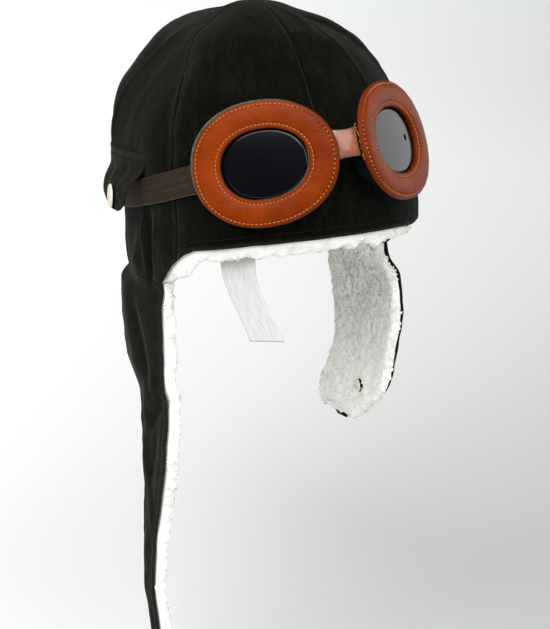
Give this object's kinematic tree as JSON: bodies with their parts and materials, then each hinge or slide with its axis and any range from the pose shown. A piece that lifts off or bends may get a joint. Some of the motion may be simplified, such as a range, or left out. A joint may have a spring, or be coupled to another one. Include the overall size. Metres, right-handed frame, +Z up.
{
  "type": "pilot hat",
  "caption": "Lined cotton pilot hat with a long and a short ear flap, snapped strap tabs, an elastic strap and leather-rimmed goggles set on its brow.",
  "frame": {"origin": "middle of the head hollow, level with the middle of the brow's lower edge, where a head carries the hat", "axes": "+Z up to the top of the crown, -Y the way the face looks, +X to the wearer's left"},
  "size_m": [0.2181, 0.2447, 0.4516],
  "materials": {
    "cotton": "matte black cotton twill",
    "sherpa": "curled off-white pile",
    "leather": "waxed tan leather, semi-gloss",
    "elastic": "ribbed dark brown elastic",
    "pad_foam": "matte dark foam",
    "dark_lens": "smoked gloss",
    "nickel": "polished nickel",
    "satin": "thin white satin, blank"
  },
  "bodies": {
    "root": {"front_panel": "cotton", "side_panel_right": "cotton", "side_panel_left": "cotton", "crown_lining": "sherpa", "ear_flap_right": "cotton", "ear_flap_left": "cotton", "flap_lining_right": "sherpa", "flap_lining_left": "sherpa", "strap_tab_right": "cotton", "strap_tab_left": "cotton", "tab_snap_right": "nickel", "tab_snap_left": "nickel", "flap_snap": "nickel", "goggle_strap": "elastic", "lens_rim_right": "leather", "lens_rim_left": "leather", "goggle_pad_right": "pad_foam", "goggle_pad_left": "pad_foam", "lens_right": "dark_lens", "lens_left": "dark_lens", "goggle_bridge": "leather", "sewn_label": "satin"}
  },
  "joints": []
}
